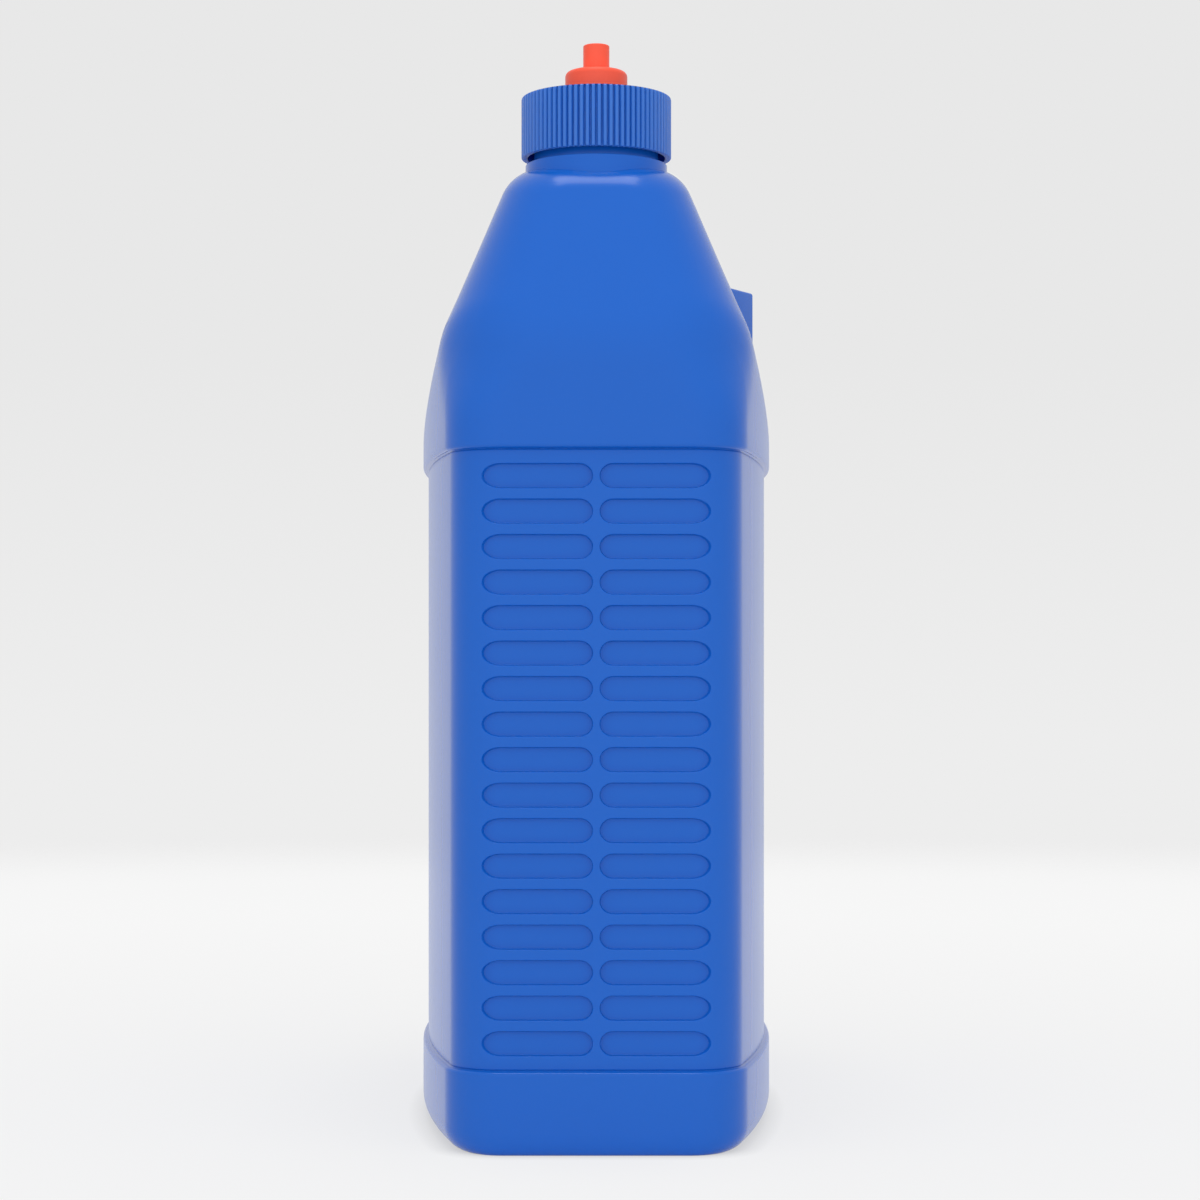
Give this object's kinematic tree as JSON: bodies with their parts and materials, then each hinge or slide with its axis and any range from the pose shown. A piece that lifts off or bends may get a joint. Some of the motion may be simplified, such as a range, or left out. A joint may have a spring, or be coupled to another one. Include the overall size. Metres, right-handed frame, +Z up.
{
  "type": "herbicide jug",
  "caption": "Deep flat plastic jug with a rear handle, grip recesses down its front end, a ribbed screw cap and a push-pull spout.",
  "frame": {"origin": "middle of the footprint's box, on the surface that the jug stands on", "axes": "+Z up, along the neck; +Y from the neck's narrow end towards the handle; +X towards the side with the lug"},
  "size_m": [0.099, 0.21, 0.2907],
  "materials": {
    "jug_plastic": "blue blow-moulded polyethylene, satin to semi-gloss",
    "cap_plastic": "blue injection-moulded polypropylene, semi-gloss, ribbed skirt",
    "gasket_foam": "off-white foamed polyethylene liner",
    "spout_plastic": "orange-red injection-moulded polyethylene, satin"
  },
  "bodies": {
    "jug": {"jug": "jug_plastic"},
    "gasket": {"cap_gasket": "gasket_foam"},
    "cap": {"cap": "cap_plastic"},
    "spout": {"spout": "spout_plastic"}
  },
  "joints": [
    {"name": "cap_lift", "type": "slide", "parent": "jug", "child": "gasket", "axis": [0, 0, 1], "range_m": [0, 0.0085]},
    {"name": "cap_turn", "type": "hinge", "parent": "gasket", "child": "cap", "pos_m": [0, -0.0675, 0.27], "axis": [0, 0, 1], "range_deg": [0, 720]},
    {"name": "spout_pull", "type": "slide", "parent": "cap", "child": "spout", "axis": [0, 0, 1], "range_m": [0, 0.0036]}
  ],
  "couplings": [
    {"joint": "cap_lift", "follows": "cap_turn", "m_per_rad": 0.0006737}
  ]
}
